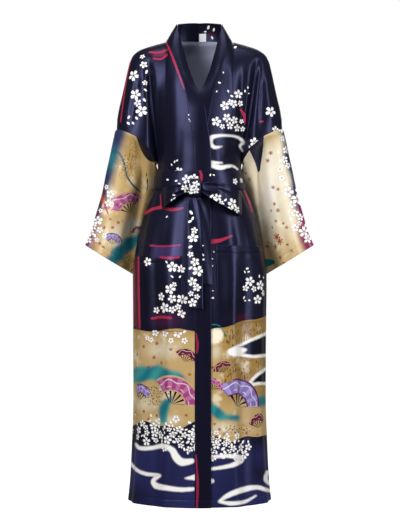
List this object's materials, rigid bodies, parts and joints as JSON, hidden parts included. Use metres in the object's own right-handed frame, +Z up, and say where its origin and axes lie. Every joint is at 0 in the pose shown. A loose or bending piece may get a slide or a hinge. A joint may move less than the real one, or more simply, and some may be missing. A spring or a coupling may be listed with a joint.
{
  "type": "kimono robe",
  "caption": "Long wrap robe in printed satin with a straight neck band, wide open sleeves, patch pockets and a tied sash, hollow and filled out as worn.",
  "frame": {"origin": "midway between the neck ends of the two shoulder seams, where the robe hangs on the wearer", "axes": "+Z up, -Y out of the front, +X to the wearer's left side"},
  "size_m": [0.6552, 0.3045, 1.3681],
  "materials": {
    "navy_print_satin": "glossy satin, navy with a white blossom print above and a gold and teal border print below",
    "gold_print_satin": "glossy satin, gold and cream print",
    "plain_navy_satin": "glossy satin, navy with a thin dark red line",
    "white_label_tape": "matt white woven tape, blank"
  },
  "bodies": {
    "root": {"back": "navy_print_satin", "front_right": "navy_print_satin", "front_left": "navy_print_satin", "sleeve_right": "gold_print_satin", "sleeve_left": "gold_print_satin", "neck_band": "plain_navy_satin", "pocket_right": "navy_print_satin", "pocket_left": "navy_print_satin", "belt": "navy_print_satin", "belt_knot": "navy_print_satin", "bow_right": "navy_print_satin", "bow_left": "navy_print_satin", "tail_front": "navy_print_satin", "tail_rear": "navy_print_satin", "label": "white_label_tape"}
  },
  "joints": []
}
